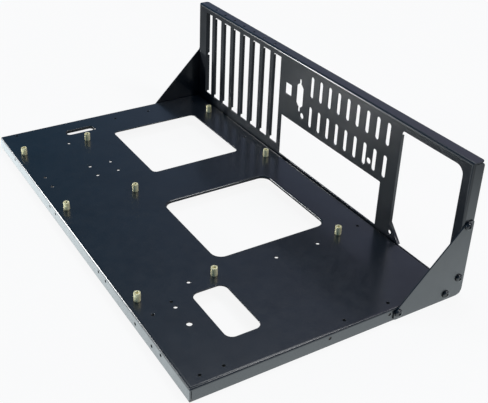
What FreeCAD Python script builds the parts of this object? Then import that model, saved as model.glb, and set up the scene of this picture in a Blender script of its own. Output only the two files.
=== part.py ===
"""Open-air chassis: a folded tray, a folded rear panel, two corner gussets and their hardware.

Everything is in millimetres.  X runs along the rear panel, Y runs from the front of the tray
to the panel and Z is up.  The origin is the centre of the footprint, on the surface that the
tray's flanges stand on.
"""

import FreeCAD, Part
import math
import os
from types import SimpleNamespace

import Sketcher

# ---------------------------------------------------------------------------------------------
# Driving sizes
# ---------------------------------------------------------------------------------------------

SIZES = {
    # sheet and folds
    "sheet": 1.2,                  # thickness of every folded sheet
    "bend_inner": 1.2,             # inside radius of a fold
    "corner_gap": 0.5,             # slit between two flanges that meet at a corner
    "corner_round": 3.0,           # rounding of a flange's free corners
    "tap_collar_height": 1.5,      # drawn collar behind a tapped hole
    "tap_collar_wall": 1.1,        # wall of that collar
    "tap_bore": 2.9,               # bore of a small tapped hole
    "plain_bore": 3.4,             # bore of a plain screw hole

    # tray
    "tray_flange": 12.5,           # height of the tray, over its flanges
    "flange_row": 7.7,             # height of the row of holes in the flanges
    "flange_row_low": 4.7,         # height of the two lower holes in the front flange

    # circuit board hole pattern
    "board_left": 51.5,            # tray's left face to the first column
    "board_rear": 14.4,            # tray's rear face to the rear row
    "board_front": 10.27,          # front row to the tray's front face
    "column_two": 124.46,          # first to second column
    "column_three": 281.94,        # first to third column
    "row_two": 154.94,             # rear to middle row
    "row_three": 227.33,           # rear to front row
    "last_column_rear": 22.86,     # third column's rear hole stands this much further forward

    # openings in the tray
    "left_window_left": 48.7,      # tray's left face to the window
    "left_window_width": 103.0,
    "left_window_rear": 34.3,      # tray's rear face to the window
    "left_window_depth": 102.5,
    "left_window_round": 5.0,
    "right_window_from_two": 34.04,   # second column to the window
    "right_window_to_three": 19.34,   # window to the third column
    "right_window_rear": 37.0,
    "right_window_depth": 119.8,
    "right_window_round": 10.0,
    "cable_window_from_three": 14.06,  # third column to the window
    "cable_window_right": 32.7,    # window to the tray's right face
    "cable_window_front": 51.8,    # window to the tray's front face
    "cable_window_depth": 32.0,
    "cable_window_round": 7.0,
    "strap_slot_left": 29.0,
    "strap_slot_rear": 167.9,      # middle of the slot
    "strap_slot_length": 35.0,
    "strap_slot_width": 6.0,

    # screw holes in the tray, each from the face that its name ends with
    "drive_left": 109.0,
    "drive_pitch": 20.4,
    "drive_front": 12.8,
    "drive_middle_front": 62.0,
    "drive_rear_front": 85.0,
    "bay_right": 7.8,
    "bay_width": 96.9,
    "bay_rear": 63.2,
    "bay_depth": 44.9,
    "rail_right": 9.2,
    "rail_width": 76.9,
    "rail_front": 13.3,
    "rail_depth": 20.4,
    "rail_stop_right": 93.6,
    "edge_taps_left": 16.6,
    "edge_tap_one_rear": 16.3,
    "edge_tap_two_rear": 77.8,
    "edge_tap_three_rear": 120.4,
    "corner_tap_left": 6.7,
    "corner_tap_front": 16.5,
    "strap_hole_left": 49.9,
    "strap_hole_rear": 190.6,
    "tie_hole_before_three": 1.44,  # third column to the tie hole
    "tie_hole_rear": 193.4,
    "cable_hole_right": 62.6,
    "cable_hole_bore": 5.0,
    "back_hole_left": 127.3,
    "back_hole_rear": 11.8,
    "back_tap_right": 110.2,
    "back_tap_rear": 13.0,

    # holes in the tray's flanges
    "front_single_left": 49.9,
    "front_pair_left": 156.6,
    "front_pair_pitch": 15.3,
    "front_pair_step": 120.0,
    "front_low_right": 91.2,
    "front_low_pitch": 29.6,
    "front_last_right": 46.1,
    "side_hole_forward": 8.2,      # gusset's further screw to the next hole
    "side_hole_pitch": 60.2,

    # rear panel
    "panel_height": 130.0,
    "panel_flange": 12.0,          # depth of the panel, over its flanges
    "slot_count": 8,
    "slot_pitch": 20.32,
    "slot_width": 13.9,
    "slot_bottom": 23.0,           # above the surface that the tray stands on
    "slot_top": 6.6,               # below the panel's top
    "slot_before_board": 34.3,     # left edge of the first slot to the first column of holes
    "slot_tab_depth": 3.3,         # folded tab, from the panel's face
    "slot_tab_inset": 2.6,         # tab's ends to the slot's ends
    "first_tab_depth": 5.4,        # the first slot's tab, which runs its full height
    "bracket_hole_bore": 3.0,
    "bracket_hole_back": 5.0,      # behind the panel's face
    "bracket_hole_shift": 14.4,    # from the slot's left edge
    "port_window_from_slots": 5.76,   # last slot to the window
    "port_window_width": 161.0,
    "port_window_bottom": 14.5,
    "port_window_height": 46.6,
    "port_window_round": 1.0,
    "supply_window_from_port": 19.1,  # port window to the supply window
    "supply_window_width": 72.8,
    "supply_window_right": 10.0,   # window to the panel's right face
    "supply_window_bottom": 12.0,
    "supply_window_top": 7.9,      # window to the panel's top
    "supply_window_round": 8.0,
    "supply_window_small_round": 3.5,
    "supply_window_chamfer_width": 13.8,
    "supply_window_chamfer_height": 16.0,
    "supply_lip_depth": 3.3,       # folded lip, from the panel's face
    "supply_lip_sheet_gap": 5.0,   # lip's upper end to the opening's top
    "square_hole_across": 4.9,     # port window's left edge to the hole
    "square_hole_width": 11.0,
    "square_hole_bottom": 87.4,
    "square_hole_height": 12.5,
    "square_hole_round": 0.8,
    "plug_hole_across": 24.4,
    "plug_hole_width": 11.5,
    "plug_hole_bottom": 81.9,
    "plug_hole_height": 24.8,
    "plug_hole_chamfer": 3.0,
    "plug_ear_width": 3.6,         # narrow ends for the plug's two screws
    "plug_ear_length": 36.1,
    "knockout_bore": 6.2,
    "knockout_height": 73.8,
    "knockout_one_across": 35.8,   # from the port window's left edge
    "knockout_two_across": 18.9,   # from the port window's right edge
    "foot_hole_across": 1.4,       # from the supply window's left edge
    "foot_hole_height": 18.4,
    "foot_hole_bore": 4.0,
    "vent_count": 9,
    "vent_pitch": 14.22,
    "vent_across": 49.6,           # port window's left edge to the first vent's centre
    "vent_width": 5.2,
    "vent_bottom": 5.8,            # port window's top to the lower vents
    "vent_gap": 10.0,              # lower vents to the upper ones
    "vent_top": 8.3,               # upper vents to the panel's top

    # gussets, from the panel's rear edge and from the surface that the tray stands on
    "gusset_inset": 0.6,
    "screw_inset": 6.8,            # screws to the plate's two straight sides
    "leg_short": 19.3,             # corner to the nearer screws
    "leg_long": 71.0,              # corner to the further screws
    "gusset_end": 4.3,             # further screws to the plate's ends
    "gusset_web": 4.9,             # slanted side, past the line through the further screws
    "gusset_corner_round": 6.5,
    "gusset_tip_round": 2.0,

    # screws
    "screw_thread": 3.5,
    "screw_length": 6.0,
    "screw_head": 7.2,
    "screw_head_height": 2.2,
    "screw_head_round": 1.5,
    "screw_clearance": 0.4,        # in the gusset's holes, on the diameter
    "thread_clearance": 0.1,       # in a tapped hole, on the diameter
    "recess_reach": 1.9,
    "recess_width": 1.1,
    "recess_depth": 1.3,

    # standoffs
    "standoff_diameter": 6.0,
    "standoff_height": 8.0,
    "standoff_stud": 3.5,
    "standoff_stud_length": 3.6,
    "standoff_bore": 2.9,
    "standoff_bore_depth": 6.0,
    "standoff_chamfer": 0.4,
}

TOUCH = 1e-4                       # two places nearer than this are the same place


class Size:
    """A length that knows both its number and the spreadsheet formula it comes from."""

    def __init__(self, formula, value):
        self.formula = formula
        self.value = value

    @staticmethod
    def of(other):
        """Returns other as a Size, plain numbers included."""
        return other if isinstance(other, Size) else Size(repr(other), other)

    def __add__(self, other):
        other = Size.of(other)
        return Size(f"({self.formula} + {other.formula})", self.value + other.value)

    def __sub__(self, other):
        other = Size.of(other)
        return Size(f"({self.formula} - {other.formula})", self.value - other.value)

    def __mul__(self, other):
        other = Size.of(other)
        return Size(f"({self.formula} * {other.formula})", self.value * other.value)

    def __truediv__(self, other):
        other = Size.of(other)
        return Size(f"({self.formula} / {other.formula})", self.value / other.value)

    def __neg__(self):
        return Size(f"(0 - {self.formula})", -self.value)

    def __float__(self):
        return float(self.value)


def write_sizes(cells, first_row, contents):
    """Writes names and values or formulas into the sheet and returns them as Sizes."""
    for row, (alias, content) in enumerate(contents.items(), start=first_row):
        cells.set(f"A{row}", alias)
        cells.set(f"B{row}", str(content))
        cells.setAlias(f"B{row}", alias)
    cells.Document.recompute()
    return {
        alias: Size(f"Sizes.{alias}", float(getattr(cells, alias))) for alias in contents
    }


def follow_on(s):
    """Gives the sizes that follow from the driving ones, by name."""
    first_slot = s.board_left - s.slot_before_board
    slots = s.slot_pitch * (s.slot_count - 1) + s.slot_width
    port_left = first_slot + slots + s.port_window_from_slots
    supply_left = port_left + s.port_window_width + s.supply_window_from_port
    vents_low = s.port_window_bottom + s.port_window_height + s.vent_bottom
    vents_high = s.panel_height - s.vent_top
    side_hole = s.leg_long - s.panel_flange + s.side_hole_forward
    window_width = s.column_three - s.column_two - s.right_window_from_two
    return {
        "tray_width": supply_left + s.supply_window_width + s.supply_window_right,
        "tray_depth": s.board_rear + s.row_three + s.board_front,
        "first_slot_left": first_slot,
        "slot_height": s.panel_height - s.slot_bottom - s.slot_top,
        "port_window_left": port_left,
        "supply_window_left": supply_left,
        "supply_window_height": s.panel_height - s.supply_window_bottom - s.supply_window_top,
        "vent_lower_bottom": vents_low,
        "vent_height": (vents_high - vents_low - s.vent_gap) / 2,
        "right_window_left": s.board_left + s.column_two + s.right_window_from_two,
        "right_window_width": window_width - s.right_window_to_three,
        "side_hole_rear": side_hole,
    }


def make_sheet(document):
    """Makes the spreadsheet of sizes and returns them as one namespace."""
    cells = document.addObject("Spreadsheet::Sheet", "Sizes")
    s = SimpleNamespace(**write_sizes(cells, 1, SIZES))
    formulas = {
        name: "=" + size.formula.replace("Sizes.", "") for name, size in follow_on(s).items()
    }
    vars(s).update(write_sizes(cells, len(SIZES) + 1, formulas))
    return s


# ---------------------------------------------------------------------------------------------
# Sketches
# ---------------------------------------------------------------------------------------------

ROOT_POINT = (-1, 1)               # a sketch's own origin
HORIZONTAL_AXIS = -1
VERTICAL_AXIS = -2
START, END, CENTRE = 1, 2, 3


class Drawing:
    """A sketch on one of its body's origin planes, with every place bound to the sizes."""

    def __init__(self, body, name, plane, lift=None):
        self.sketch = body.newObject("Sketcher::SketchObject", name)
        support = next(face for face in body.Origin.OriginFeatures if face.Role == plane)
        self.sketch.AttachmentSupport = [(support, "")]
        self.sketch.MapMode = "FlatFace"
        if lift is not None:
            self.sketch.setExpression("AttachmentOffset.Base.z", Size.of(lift).formula)

    def bind(self, kind, *references, size):
        """Adds a constraint whose value is the given size."""
        index = self.sketch.addConstraint(Sketcher.Constraint(kind, *references, float(size)))
        self.sketch.setExpression(f"Constraints[{index}]", size.formula)

    def place(self, item, point, across, up):
        """Holds a point at a place measured from the sketch's origin."""
        for kind, axis, size in (
            ("DistanceX", VERTICAL_AXIS, Size.of(across)),
            ("DistanceY", HORIZONTAL_AXIS, Size.of(up)),
        ):
            if size.formula in ("0", "0.0"):
                self.sketch.addConstraint(Sketcher.Constraint("PointOnObject", item, point, axis))
            else:
                self.bind(kind, *ROOT_POINT, item, point, size=size)

    def polygon(self, *corners):
        """Draws a closed outline of straight lines through the corners."""
        places = [FreeCAD.Vector(float(across), float(up), 0) for across, up in corners]
        lines = [
            self.sketch.addGeometry(Part.LineSegment(start, end))
            for start, end in zip(places, places[1:] + places[:1])
        ]
        for line, following in zip(lines, lines[1:] + lines[:1]):
            self.sketch.addConstraint(Sketcher.Constraint("Coincident", line, END, following, START))
        for line, (across, up) in zip(lines, corners):
            self.place(line, START, across, up)

    def rectangle(self, left, width, bottom, height):
        """Draws a sharp rectangle."""
        right = left + width
        top = bottom + height
        self.polygon((left, bottom), (right, bottom), (right, top), (left, top))

    def circle(self, across, up, bore):
        """Draws a circle of the given diameter."""
        centre = FreeCAD.Vector(float(across), float(up), 0)
        normal = FreeCAD.Vector(0, 0, 1)
        item = self.sketch.addGeometry(Part.Circle(centre, normal, float(bore) / 2))
        self.place(item, CENTRE, across, up)
        self.bind("Diameter", item, size=bore)

    def upright_slot(self, across, bottom, width, height):
        """Draws an upright slot with round ends."""
        normal = FreeCAD.Vector(0, 0, 1)
        radius = width / 2
        low = bottom + radius
        high = bottom + height - radius
        low_centre = FreeCAD.Vector(float(across), float(low), 0)
        high_centre = FreeCAD.Vector(float(across), float(high), 0)
        side = FreeCAD.Vector(float(radius), 0, 0)
        upper = self.sketch.addGeometry(
            Part.ArcOfCircle(Part.Circle(high_centre, normal, float(radius)), 0, math.pi)
        )
        lower = self.sketch.addGeometry(
            Part.ArcOfCircle(Part.Circle(low_centre, normal, float(radius)), math.pi, 2 * math.pi)
        )
        left = self.sketch.addGeometry(Part.LineSegment(high_centre - side, low_centre - side))
        right = self.sketch.addGeometry(Part.LineSegment(low_centre + side, high_centre + side))
        chain = (upper, left, lower, right)
        for item, following in zip(chain, chain[1:] + chain[:1]):
            self.sketch.addConstraint(Sketcher.Constraint("Tangent", item, END, following, START))
        self.sketch.addConstraint(Sketcher.Constraint("Equal", upper, lower))
        self.place(upper, CENTRE, across, high)
        self.place(lower, CENTRE, across, low)
        self.bind("Diameter", upper, size=width)


# ---------------------------------------------------------------------------------------------
# Features
# ---------------------------------------------------------------------------------------------


def start_body(document, name, across=None, back=None, up=None):
    """Adds an empty body, placed by the given sizes."""
    body = document.addObject("PartDesign::Body", name)
    body.Label = name
    for axis, size in (("x", across), ("y", back), ("z", up)):
        if size is not None:
            body.setExpression(f"Placement.Base.{axis}", Size.of(size).formula)
    return body


def grow(body, drawing, length, reverse=False):
    """Pads a drawing and makes sure that it adds to the body."""
    before = body.Shape.Volume if body.Tip else 0
    pad = body.newObject("PartDesign::Pad", f"{drawing.sketch.Name}Pad")
    pad.Profile = drawing.sketch
    pad.setExpression("Length", Size.of(length).formula)
    pad.Reversed = reverse
    body.Document.recompute()
    if body.Shape.Volume <= before + TOUCH:
        raise RuntimeError(f"{pad.Name} adds nothing")
    return pad


def cut(body, drawing, length=None, reverse=False, side="One side"):
    """Pockets a drawing, right through without a length, and makes sure that it cuts."""
    before = body.Shape.Volume
    pocket = body.newObject("PartDesign::Pocket", f"{drawing.sketch.Name}Pocket")
    pocket.Profile = drawing.sketch
    pocket.SideType = side
    pocket.Reversed = reverse
    if length is None:
        pocket.Type = "ThroughAll"
        pocket.Type2 = "ThroughAll"
    else:
        pocket.setExpression("Length", Size.of(length).formula)
    body.Document.recompute()
    if body.Shape.Volume >= before - TOUCH:
        raise RuntimeError(f"{pocket.Name} cuts nothing")
    return pocket


def repeat(body, feature, axis, count, spacing):
    """Repeats a feature along one of its sketch's axes."""
    row = body.newObject("PartDesign::LinearPattern", f"{feature.Name}Row")
    row.Originals = [feature]
    row.Direction = (feature.Profile[0], [axis])
    row.Mode = "Spacing"
    row.setExpression("Offset", spacing.formula)
    row.setExpression("Occurrences", count.formula)
    body.Tip = row
    body.Document.recompute()
    return row


def straight_edges(body, along, **places):
    """Names the straight edges that run along an axis at the given places of their middles."""
    found = []
    for number, edge in enumerate(body.Tip.Shape.Edges, start=1):
        if edge.Curve.TypeId != "Part::GeomLine":
            continue
        run = edge.lastVertex().Point - edge.firstVertex().Point
        if abs(abs(getattr(run, along)) - run.Length) > TOUCH:
            continue
        middle = edge.CenterOfMass
        if all(abs(getattr(middle, axis) - float(size)) < TOUCH for axis, size in places.items()):
            found.append(f"Edge{number}")
    return found


def soften(body, name, edges, radius, kind="Fillet"):
    """Rounds or chamfers the named edges of the body's last feature."""
    if not edges:
        raise RuntimeError(f"{name} has no edges")
    base = body.Tip
    feature = body.newObject(f"PartDesign::{kind}", name)
    feature.Base = (base, edges)
    feature.setExpression("Radius" if kind == "Fillet" else "Size", Size.of(radius).formula)
    body.Document.recompute()
    return feature


# ---------------------------------------------------------------------------------------------
# Tray
# ---------------------------------------------------------------------------------------------


def board_holes(s):
    """Gives the nine standoff places, in the tray's own frame, column by column."""
    first_column = s.board_left - s.tray_width / 2
    rear_row = s.tray_depth / 2 - s.board_rear
    places = []
    for column, first_row in (
        (first_column, rear_row),
        (first_column + s.column_two, rear_row),
        (first_column + s.column_three, rear_row - s.last_column_rear),
    ):
        places.append((column, first_row))
        places.append((column, rear_row - s.row_two))
        places.append((column, rear_row - s.row_three))
    return places


def rail_rows(s):
    """Gives the rear and the front row of rail holes, from the tray's rear face."""
    front_row = s.tray_depth - s.rail_front
    return front_row - s.rail_depth, front_row


def tray_taps(s):
    """Gives the tapped holes in the tray's top, from its left and rear faces."""
    bay = s.tray_width - s.bay_right
    rail = s.tray_width - s.rail_right
    rear_row, front_row = rail_rows(s)
    return [
        (s.corner_tap_left, s.tray_depth - s.corner_tap_front),
        (s.edge_taps_left, s.edge_tap_one_rear),
        (s.edge_taps_left, s.edge_tap_two_rear),
        (s.edge_taps_left, s.edge_tap_three_rear),
        (bay, s.bay_rear),
        (bay, s.bay_rear + s.bay_depth),
        (rail, rear_row),
        (rail, front_row),
        (rail - s.rail_width, front_row),
        (s.tray_width - s.rail_stop_right, rear_row),
        (s.tray_width - s.back_tap_right, s.back_tap_rear),
    ]


def tray_plain_holes(s):
    """Gives the plain screw holes in the tray's top, from its left and rear faces."""
    bay = s.tray_width - s.bay_right - s.bay_width
    rail = s.tray_width - s.rail_right - s.rail_width
    tie = s.board_left + s.column_three - s.tie_hole_before_three
    holes = [
        (bay, s.bay_rear),
        (bay, s.bay_rear + s.bay_depth),
        (rail, rail_rows(s)[0]),
        (s.strap_hole_left, s.strap_hole_rear),
        (tie, s.tie_hole_rear),
        (s.back_hole_left, s.back_hole_rear),
    ]
    for forward in (s.drive_front, s.drive_middle_front, s.drive_rear_front):
        row = s.tray_depth - forward
        holes.append((s.drive_left, row))
        holes.append((s.drive_left + s.drive_pitch, row))
    return holes


def front_flange_holes(s):
    """Gives the holes in the tray's front flange, from its left face and from below."""
    second_pair = s.front_pair_left + s.front_pair_step
    low_pair = s.tray_width - s.front_low_right
    return [
        (s.front_single_left, s.flange_row),
        (s.front_pair_left, s.flange_row),
        (s.front_pair_left + s.front_pair_pitch, s.flange_row),
        (second_pair, s.flange_row),
        (second_pair + s.front_pair_pitch, s.flange_row),
        (low_pair, s.flange_row_low),
        (low_pair + s.front_low_pitch, s.flange_row_low),
        (s.tray_width - s.front_last_right, s.flange_row),
    ]


def fold_tray(body, s):
    """Folds the tray: a flat top with a flange down all round it."""
    left = -(s.tray_width / 2)
    front = -(s.tray_depth / 2)
    inner_width = s.tray_width - s.sheet * 2
    inner_depth = s.tray_depth - s.sheet * 2
    underside = s.tray_flange - s.sheet

    outline = Drawing(body, "TrayOutline", "XY_Plane")
    outline.rectangle(left, s.tray_width, front, s.tray_depth)
    grow(body, outline, s.tray_flange)
    folds = [
        *straight_edges(body, "x", y=front, z=s.tray_flange),
        *straight_edges(body, "x", y=-front, z=s.tray_flange),
        *straight_edges(body, "y", x=left, z=s.tray_flange),
        *straight_edges(body, "y", x=-left, z=s.tray_flange),
    ]
    soften(body, "TrayOuterBend", folds, s.bend_inner + s.sheet)

    hollow = Drawing(body, "TrayHollow", "XY_Plane")
    hollow.rectangle(left + s.sheet, inner_width, front + s.sheet, inner_depth)
    cut(body, hollow, underside, reverse=True)
    folds = [
        *straight_edges(body, "x", y=front + s.sheet, z=underside),
        *straight_edges(body, "x", y=-front - s.sheet, z=underside),
        *straight_edges(body, "y", x=left + s.sheet, z=underside),
        *straight_edges(body, "y", x=-left - s.sheet, z=underside),
    ]
    soften(body, "TrayInnerBend", folds, s.bend_inner)

    slits = Drawing(body, "TrayCornerSlits", "XY_Plane")
    for edge in (left, -left - s.sheet):
        slits.rectangle(edge, s.sheet, front + s.sheet, s.corner_gap)
        slits.rectangle(edge, s.sheet, -front - s.sheet - s.corner_gap, s.corner_gap)
    cut(body, slits, underside - s.bend_inner, reverse=True)

    half_sheet = s.sheet / 2
    corners = []
    for side in (left, -left):
        corners += straight_edges(body, "y", x=side, y=front + half_sheet, z=0)
        corners += straight_edges(body, "y", x=side, y=-front - half_sheet, z=0)
    slit_front = front + s.sheet + s.corner_gap
    for side in (left + half_sheet, -left - half_sheet):
        corners += straight_edges(body, "x", x=side, y=slit_front, z=0)
        corners += straight_edges(body, "x", x=side, y=-slit_front, z=0)
    soften(body, "TrayFlangeCorners", corners, s.corner_round)


def pierce_tray(body, s):
    """Cuts the tray's windows, slot and screw holes."""
    left = -(s.tray_width / 2)
    rear = s.tray_depth / 2
    underside = s.tray_flange - s.sheet
    middle_of_sheet = s.tray_flange - s.sheet / 2

    cable_left = s.board_left + s.column_three + s.cable_window_from_three
    cable_width = s.tray_width - s.cable_window_right - cable_left
    cable_rear = s.tray_depth - s.cable_window_front - s.cable_window_depth

    for name, window_left, width, window_rear, depth, radius in (
        ("LeftWindow", s.left_window_left, s.left_window_width, s.left_window_rear,
         s.left_window_depth, s.left_window_round),
        ("RightWindow", s.right_window_left, s.right_window_width, s.right_window_rear,
         s.right_window_depth, s.right_window_round),
        ("CableWindow", cable_left, cable_width, cable_rear,
         s.cable_window_depth, s.cable_window_round),
    ):
        low_x = left + window_left
        low_y = rear - window_rear - depth
        window = Drawing(body, name, "XY_Plane")
        window.rectangle(low_x, width, low_y, depth)
        cut(body, window, reverse=True)
        corners = [
            name
            for corner_x in (low_x, low_x + width)
            for corner_y in (low_y, low_y + depth)
            for name in straight_edges(body, "z", x=corner_x, y=corner_y, z=middle_of_sheet)
        ]
        soften(body, f"{name}Corners", corners, radius)

    strap_slot = Drawing(body, "StrapSlot", "XY_Plane")
    strap_slot.upright_slot(
        left + s.strap_slot_left,
        rear - s.strap_slot_rear - s.strap_slot_length / 2,
        s.strap_slot_width,
        s.strap_slot_length,
    )
    cut(body, strap_slot, reverse=True)

    plain = Drawing(body, "TrayPlainHoles", "XY_Plane")
    for across, back in tray_plain_holes(s):
        plain.circle(left + across, rear - back, s.plain_bore)
    cable_hole = -left - s.cable_hole_right
    plain.circle(cable_hole, rear - rail_rows(s)[0], s.cable_hole_bore)
    for across, back in board_holes(s):
        plain.circle(across, back, s.standoff_stud + s.thread_clearance)
    cut(body, plain, reverse=True)

    collars = Drawing(body, "TrayTapCollars", "XY_Plane", underside - s.tap_collar_height)
    taps = Drawing(body, "TrayTaps", "XY_Plane")
    for across, back in tray_taps(s):
        collars.circle(left + across, rear - back, s.tap_bore + s.tap_collar_wall * 2)
        taps.circle(left + across, rear - back, s.tap_bore)
    grow(body, collars, s.tap_collar_height)
    cut(body, taps, reverse=True)


def pierce_tray_flanges(body, s):
    """Cuts the holes in the tray's front and side flanges."""
    left = -(s.tray_width / 2)
    rear = s.tray_depth / 2
    panel_back = rear + s.panel_flange

    front_holes = Drawing(body, "FrontFlangeHoles", "XZ_Plane")
    for across, up in front_flange_holes(s):
        front_holes.circle(left + across, up, s.tap_bore)
    cut(body, front_holes, reverse=True)

    side_holes = Drawing(body, "SideFlangeHoles", "YZ_Plane")
    for back in (s.side_hole_rear, s.side_hole_rear + s.side_hole_pitch):
        side_holes.circle(rear - back, s.flange_row, s.tap_bore)
    cut(body, side_holes, side="Symmetric")

    gusset_taps = [panel_back - s.leg_long, panel_back - s.leg_short]
    tap = s.screw_thread + s.thread_clearance
    for name, lift, away in (
        ("RightGussetCollars", s.tray_width / 2 - s.sheet, True),
        ("LeftGussetCollars", left + s.sheet, False),
    ):
        collars = Drawing(body, name, "YZ_Plane", lift)
        for back in gusset_taps:
            collars.circle(back, s.screw_inset, tap + s.tap_collar_wall * 2)
        grow(body, collars, s.tap_collar_height, reverse=away)
    bores = Drawing(body, "GussetTaps", "YZ_Plane")
    for back in gusset_taps:
        bores.circle(back, s.screw_inset, tap)
    cut(body, bores, side="Symmetric")


def make_tray(document, s):
    """Makes the tray."""
    body = start_body(document, "base_tray", back=-(s.panel_flange / 2))
    fold_tray(body, s)
    pierce_tray(body, s)
    pierce_tray_flanges(body, s)


# ---------------------------------------------------------------------------------------------
# Rear panel
# ---------------------------------------------------------------------------------------------


def fold_panel(body, s):
    """Folds the panel: an upright face with flanges back at its top and sides."""
    left = -(s.tray_width / 2)
    outer_bend = s.bend_inner + s.sheet
    ceiling = s.panel_height - s.sheet

    outline = Drawing(body, "PanelOutline", "XZ_Plane")
    outline.rectangle(left, s.tray_width, Size.of(0), s.panel_height)
    grow(body, outline, s.panel_flange, reverse=True)
    folds = [
        *straight_edges(body, "x", y=0, z=s.panel_height),
        *straight_edges(body, "z", x=left, y=0),
        *straight_edges(body, "z", x=-left, y=0),
    ]
    soften(body, "PanelOuterBend", folds, outer_bend)

    hollow = Drawing(body, "PanelHollow", "XZ_Plane", -s.sheet)
    hollow.rectangle(left + s.sheet, s.tray_width - s.sheet * 2, Size.of(0), ceiling)
    cut(body, hollow)
    folds = [
        *straight_edges(body, "x", y=s.sheet, z=ceiling),
        *straight_edges(body, "z", x=left + s.sheet, y=s.sheet),
        *straight_edges(body, "z", x=-left - s.sheet, y=s.sheet),
    ]
    soften(body, "PanelInnerBend", folds, s.bend_inner)

    slits = Drawing(body, "PanelCornerSlits", "XZ_Plane", -outer_bend)
    for edge in (left, -left - s.sheet):
        slits.rectangle(edge, s.sheet, ceiling - s.corner_gap, s.corner_gap)
    cut(body, slits)

    half_sheet = s.sheet / 2
    corners = []
    for side in (left, -left):
        corners += straight_edges(body, "z", x=side, y=s.panel_flange, z=ceiling + half_sheet)
    for side in (left + half_sheet, -left - half_sheet):
        corners += straight_edges(body, "x", x=side, y=s.panel_flange, z=ceiling - s.corner_gap)
        corners += straight_edges(body, "x", x=side, y=s.panel_flange, z=0)
    soften(body, "PanelFlangeCorners", corners, s.corner_round)


def pierce_card_slots(body, s):
    """Cuts the row of card slots, folds their tabs back and drills the bracket holes."""
    first = s.first_slot_left - s.tray_width / 2

    slot = Drawing(body, "CardSlot", "XZ_Plane")
    slot.rectangle(first, s.slot_width, s.slot_bottom, s.slot_height)
    repeat(body, cut(body, slot), "H_Axis", s.slot_count, s.slot_pitch)

    first_tab = Drawing(body, "FirstSlotTab", "XZ_Plane")
    first_tab.rectangle(first - s.sheet, s.sheet, s.slot_bottom, s.slot_height)
    grow(body, first_tab, s.first_tab_depth, reverse=True)

    tab = Drawing(body, "SlotTab", "XZ_Plane")
    tab.rectangle(
        first + s.slot_pitch - s.sheet,
        s.sheet,
        s.slot_bottom + s.slot_tab_inset,
        s.slot_height - s.slot_tab_inset * 2,
    )
    pad = grow(body, tab, s.slot_tab_depth, reverse=True)
    repeat(body, pad, "H_Axis", s.slot_count - 1, s.slot_pitch)

    bracket_hole = Drawing(body, "BracketHole", "XY_Plane", s.panel_height)
    bracket_hole.circle(first + s.bracket_hole_shift, s.bracket_hole_back, s.bracket_hole_bore)
    pocket = cut(body, bracket_hole, s.sheet + s.bend_inner)
    repeat(body, pocket, "H_Axis", s.slot_count, s.slot_pitch)


def pierce_supply_window(body, s):
    """Cuts the tall opening for the power supply and folds its lip back."""
    left = s.supply_window_left - s.tray_width / 2
    right = left + s.supply_window_width
    bottom = s.supply_window_bottom
    top = bottom + s.supply_window_height
    chamfer_right = left + s.supply_window_chamfer_width
    chamfer_top = bottom + s.supply_window_chamfer_height

    window = Drawing(body, "SupplyWindow", "XZ_Plane")
    window.polygon(
        (chamfer_right, bottom), (right, bottom), (right, top), (left, top), (left, chamfer_top)
    )
    cut(body, window)
    half_sheet = s.sheet / 2
    soften(
        body, "SupplyWindowRound", straight_edges(body, "y", x=right, y=half_sheet, z=top),
        s.supply_window_round,
    )
    soften(
        body, "SupplyWindowSmallRound", straight_edges(body, "y", x=left, y=half_sheet, z=top),
        s.supply_window_small_round,
    )

    lip_top = top - s.supply_lip_sheet_gap
    lip = Drawing(body, "SupplyLip", "XZ_Plane")
    lip.polygon(
        (left - s.sheet, chamfer_top - s.sheet / 2),
        (chamfer_right - s.sheet, bottom - s.sheet / 2),
        (chamfer_right, bottom),
        (left, chamfer_top),
        (left, lip_top),
        (left - s.sheet, lip_top),
    )
    grow(body, lip, s.supply_lip_depth, reverse=True)


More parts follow.
